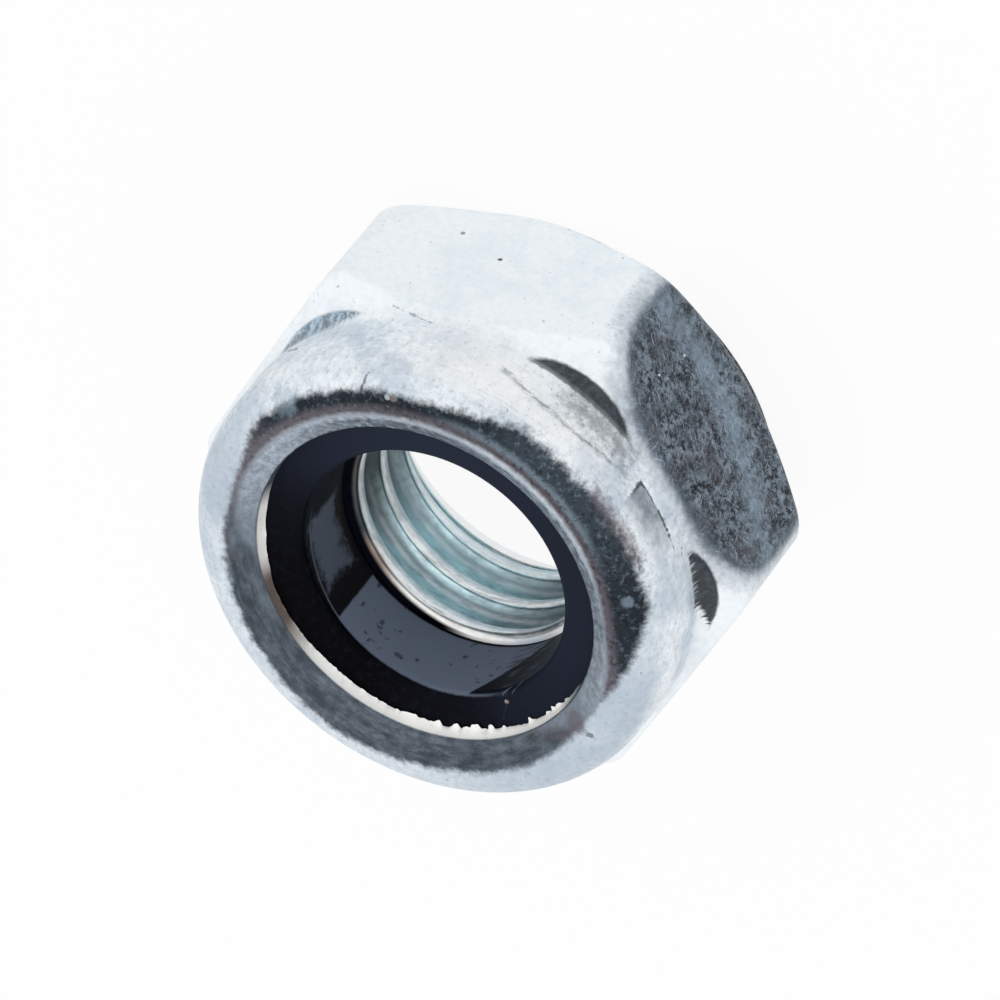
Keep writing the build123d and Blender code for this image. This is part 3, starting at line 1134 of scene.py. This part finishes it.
def plated_zinc(finish, thread):
    """Mottled zinc plate with all its stains and its painted highlights, shade and reflections, from the
    flats in to the thread.
    """
    n = Nodes("zinc_plate")
    tone = zinc_ground(n, finish)
    for layer in PLATE_LAYERS:
        tone = layer(n, finish, tone)
    tone, torn = torn_edge(n, finish, tone)
    marks = ((hollow_shade, HOLLOW_SHADES), (plate_spot, PLATE_SPOTS), (scratch_line, PLATE_SCRATCHES))
    for mark, rows in marks:
        for *sizes, shade, strength in rows:
            tone = mark(n, tone, *sizes, getattr(finish, shade), strength)
    tone = thread_tint(n, finish, thread, tone)
    grains = {"Height": n.grain, "Distance": GRAIN_HEIGHT, "Strength": 0.35}
    bump = n.add("ShaderNodeBump", grains).outputs[0]
    roughness = n.ramp(n.grain, 0.3, 0.7, 0.3, 0.48)
    metallic = n.maths("MULTIPLY_ADD", torn, TORN_METALLIC - 1.0, 1.0)
    n.to_shader(Base_Color=tone, Metallic=metallic, Roughness=roughness, Normal=bump)
    return n.material


SHINE_TOP_MM = (
    (0, 4.7), (91, 4.76), (114, 4.86), (130, 4.94), (164, 5.01), (187, 5.05), (360, 5.1),
)
SHINE_FOOT_MM = 3.47
SHINE_START = 130.6
SHINE_END = 204.0
SHINE_END_HEIGHT_MM = 4.47
SHINE_LEAN = 15.8
BORE_MM_PER_DEGREE = 0.05
EDGE_LINE_HALF_WIDTH_MM = 0.02
NYLON_CRUMB_MM = (-2.485, -1.553, 5.14)
NYLON_HAIR_MM = ((-2.5, -1.56, 5.14), (-2.86, -1.5, 5.19))


def nylon_ground(n, finish):
    """Near black in front and painted lighter round the rest, where light falls, with a fine grain."""
    dark, lit = finish.nylon, finish.nylon_lit
    tone = n.tones((
        (0, lit), (40, toned(lit, 0.8)), (75, toned(lit, 0.2)), (100, toned(dark, 0.4)),
        (150, toned(dark, 0.2)), (195, dark), (212, toned(lit, 0.5)), (250, toned(lit, 0.75)),
        (300, toned(lit, 0.7)), (360, lit),
    ))
    return n.over(tone, toned(lit, 0.9), n.ramp(n.grain, 0.5, 0.75), 0.3)


def bore_shine(n, finish, below_top, in_bore, tone):
    """A speckled slate shine on the bore's wall, a painted reflection with clean ends, and a smeared
    painted reflection beside it.
    """
    sheen = finish.nylon_sheen
    far_end = n.maths("MULTIPLY_ADD", n.z, -SHINE_LEAN, SHINE_END + SHINE_END_HEIGHT_MM * SHINE_LEAN)
    span = n.least(n.minus(n.azimuth, SHINE_START), n.minus(far_end, n.azimuth))
    inside = n.least(n.product(span, BORE_MM_PER_DEGREE), below_top, n.plus(n.z, -SHINE_FOOT_MM))
    specks = n.product(n.ramp(n.noise(5.0, 3.0), 0.62, 0.7), 0.8)
    shine = n.product(n.ragged_outline(inside, 0.03, 0.02), in_bore)
    tone = n.mix(shine, tone, n.mix(specks, sheen, toned(sheen, 0.25)))
    smear_area = n.least(n.arc(103.0, 16.0), n.within(n.z, 3.75, 4.72))
    smear = n.ragged_outline(smear_area, 0.2, 0.5, n.noise(4.0, 5.0, 0.75))
    return n.over(tone, toned(sheen, 0.8), smear, in_bore, 0.75)


def bore_scuffs(n, finish, below_top, in_bore, tone):
    """Dark scuffs and thin glints at the far end of the shine, where a tool rubbed the bore."""
    strokes = n.streaks(1.3, 16.0, 0.25, n.unrolled)
    scuff_area = n.ragged_outline(n.least(n.arc(213.0, 9.0), below_top), 0.25, 0.2)
    scuff = n.product(n.ramp(strokes, 0.45, 0.62), scuff_area, in_bore)
    tone = n.over(tone, toned(finish.nylon, 0.5), scuff, 0.8)
    glint_area = n.ragged_outline(n.arc(217.0, 8.0), 0.2, 0.2)
    glint = n.product(n.fall(strokes, 0.3, 0.42), glint_area, in_bore, 0.7)
    return n.mix(glint, tone, finish.nylon_sheen)


def bore_edge_line(n, finish, below_top, tone):
    """A thin painted highlight along the rounded mouth of the bore."""
    line = n.minus(EDGE_LINE_HALF_WIDTH_MM, n.size_of(below_top))
    ends = n.ragged_outline(n.arc(145.0, 62.0), 0.6, 0.0)
    line = n.product(n.ragged_outline(line, 0.02, 0.01), n.fall(n.radius, 2.85, 2.9), ends)
    return n.over(tone, finish.nylon_sheen, line, 0.6)


def dark_nylon(finish):
    """Dark nylon: near black in front and painted lighter round the rest, with a painted slate
    reflection, smears and specks in its bore, and a painted shadow at its foot.
    """
    n = Nodes("dark_nylon")
    in_bore = n.fall(n.radius, 2.78, 2.84)
    below_top = n.minus(n.around(SHINE_TOP_MM), n.z)
    tone = nylon_ground(n, finish)
    tone = bore_shine(n, finish, below_top, in_bore, tone)
    tone = bore_scuffs(n, finish, below_top, in_bore, tone)
    tone = bore_edge_line(n, finish, below_top, tone)
    tone = plate_spot(n, tone, NYLON_CRUMB_MM, 0.045, finish.rust, 0.9)
    tone = scratch_line(n, tone, *NYLON_HAIR_MM, 0.012, finish.nylon_lit, 0.9)
    # Painted shadow: darker nylon at the foot of the bore, over the thread.
    foot = n.product(n.fall(n.z, 3.42, 3.5), in_bore)
    tone = n.mix(foot, tone, toned(finish.nylon, 0.6))
    n.to_shader(Base_Color=tone, Roughness=0.35, Specular_IOR_Level=0.03)
    return n.material


# Stage --------------------------------------------------------------------------------------

WHITE = (1, 1, 1, 1)
AIM_POINT = (0.166 * MM, -0.254 * MM, 2.641 * MM)
CAMERA_DISTANCE = 156.16 * MM
CAMERA_AZIMUTH = math.radians(-30.43)
CAMERA_ELEVATION = math.radians(46.36)
CAMERA_ROLL = math.radians(141.63)
CAMERA_LENS = 297.05
CAMERA_SENSOR = 36.0
CAMERA_NEAREST = 1 * MM
FLOOR_HALF_WIDTH = 500 * MM
FLOOR_DROP = 0.01 * MM
FLOOR_WHITE_SHARE = 0.92


def make_camera():
    """A camera on the collar's side of the nut, turned about its own line of sight."""
    data = bpy.data.cameras.new("camera")
    data.lens = CAMERA_LENS
    data.sensor_width = CAMERA_SENSOR
    data.clip_start = CAMERA_NEAREST
    camera = bpy.data.objects.new("camera", data)
    away = Vector((
        math.cos(CAMERA_ELEVATION) * math.cos(CAMERA_AZIMUTH),
        math.cos(CAMERA_ELEVATION) * math.sin(CAMERA_AZIMUTH),
        math.sin(CAMERA_ELEVATION),
    ))
    camera.location = Vector(AIM_POINT) + away * CAMERA_DISTANCE
    level = away.to_track_quat("Z", "Y")
    camera.rotation_mode = "QUATERNION"
    camera.rotation_quaternion = level @ Quaternion((0, 0, 1), -CAMERA_ROLL)
    bpy.context.scene.collection.objects.link(camera)
    bpy.context.scene.camera = camera


def seen_rays(n):
    """1 for rays from the camera, or from gloss or glass, and 0 for the rest."""
    path = n.add("ShaderNodeLightPath").outputs
    first = n.maths("MAXIMUM", path["Is Camera Ray"], path["Is Glossy Ray"])
    return n.maths("MAXIMUM", first, path["Is Transmission Ray"])


def make_floor(finish):
    """A wide pale floor that shows white to the camera and keeps a faint shadow."""
    half, height = FLOOR_HALF_WIDTH, -FLOOR_DROP
    corners = [(half * x, half * y, height) for x, y in ((-1, -1), (1, -1), (1, 1), (-1, 1))]
    mesh = bpy.data.meshes.new("floor")
    mesh.from_pydata(corners, [], [(0, 1, 2, 3)])
    floor = bpy.data.objects.new("floor", mesh)
    bpy.context.scene.collection.objects.link(floor)
    n = Nodes("floor")
    n.to_shader(Base_Color=with_alpha(finish.floor), Roughness=1.0, Specular_IOR_Level=0.0)
    white = n.add("ShaderNodeEmission", {"Color": WHITE, "Strength": 1.0}).outputs[0]
    share = n.product(seen_rays(n), FLOOR_WHITE_SHARE)
    both = n.add("ShaderNodeMixShader", {0: share, 1: n.shader.outputs[0], 2: white}).outputs[0]
    n.tree.links.new(both, n.tree.nodes["Material Output"].inputs["Surface"])
    mesh.materials.append(n.material)


def make_world():
    """Plain pale surroundings, which are all the light: soft, and the same from every side."""
    world = bpy.data.worlds.new("surroundings")
    world.use_nodes = True
    background = world.node_tree.nodes["Background"]
    background.inputs["Color"].default_value = WHITE
    background.inputs["Strength"].default_value = 1.0
    bpy.context.scene.world = world


# Operators ----------------------------------------------------------------------------------


def place(mesh, node, slot, material):
    """Puts a finished mesh in the scene in place of a node."""
    piece = bpy.data.objects.new(mesh.name, mesh)
    bpy.context.scene.collection.objects.link(piece)
    mesh.materials.append(material)
    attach(piece, "root")
    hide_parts(node)


class LOCKNUT_OT_nut_body(bpy.types.Operator):
    """Make the plated steel body with its thread"""

    bl_idname = "locknut.nut_body"
    bl_label = "Nut body"

    def execute(self, context):
        scene = context.scene
        points, faces = nut_body_surface(scene.nut_sizes, scene.thread_sizes)
        material = plated_zinc(scene.finishes, scene.thread_sizes)
        place(mesh_of("plated_body", points, faces), "nut_body", "zinc_plated_steel", material)
        return {"FINISHED"}


class LOCKNUT_OT_nylon_insert(bpy.types.Operator):
    """Make the nylon ring under the rim"""

    bl_idname = "locknut.nylon_insert"
    bl_label = "Nylon insert"

    def execute(self, context):
        scene = context.scene
        points, faces = insert_surface(scene.nut_sizes, scene.insert_sizes)
        material = dark_nylon(scene.finishes)
        place(mesh_of("nylon_ring", points, faces), "nylon_insert", "dark_nylon", material)
        return {"FINISHED"}


class LOCKNUT_OT_stage(bpy.types.Operator):
    """Make the floor, the surroundings and the camera"""

    bl_idname = "locknut.stage"
    bl_label = "Stage"

    def execute(self, context):
        context.scene.view_settings.view_transform = "Standard"
        make_floor(context.scene.finishes)
        make_world()
        make_camera()
        return {"FINISHED"}


class LOCKNUT_PT_panel(bpy.types.Panel):
    """Sizes, colours and makers of the lock nut"""

    bl_idname = "LOCKNUT_PT_panel"
    bl_label = "Lock nut"
    bl_space_type = "VIEW_3D"
    bl_region_type = "UI"
    bl_category = "Lock nut"

    def draw(self, context):
        for maker in (LOCKNUT_OT_nut_body, LOCKNUT_OT_nylon_insert, LOCKNUT_OT_stage):
            self.layout.operator(maker.bl_idname)
        for label in SETTINGS:
            group = getattr(context.scene, label)
            for key in group.__annotations__:
                self.layout.prop(group, key)


SETTINGS = {
    "nut_sizes": NutSizes,
    "thread_sizes": ThreadSizes,
    "insert_sizes": InsertSizes,
    "finishes": Finishes,
}
CLASSES = (
    *SETTINGS.values(),
    LOCKNUT_OT_nut_body,
    LOCKNUT_OT_nylon_insert,
    LOCKNUT_OT_stage,
    LOCKNUT_PT_panel,
)


def register():
    for each in CLASSES:
        bpy.utils.register_class(each)
    for label, group in SETTINGS.items():
        setattr(bpy.types.Scene, label, bpy.props.PointerProperty(type=group))


def unregister():
    for label in SETTINGS:
        delattr(bpy.types.Scene, label)
    for each in reversed(CLASSES):
        bpy.utils.unregister_class(each)


def main():
    register()
    bpy.ops.locknut.nut_body()
    bpy.ops.locknut.nylon_insert()
    bpy.ops.locknut.stage()


if __name__ == "__main__":
    main()
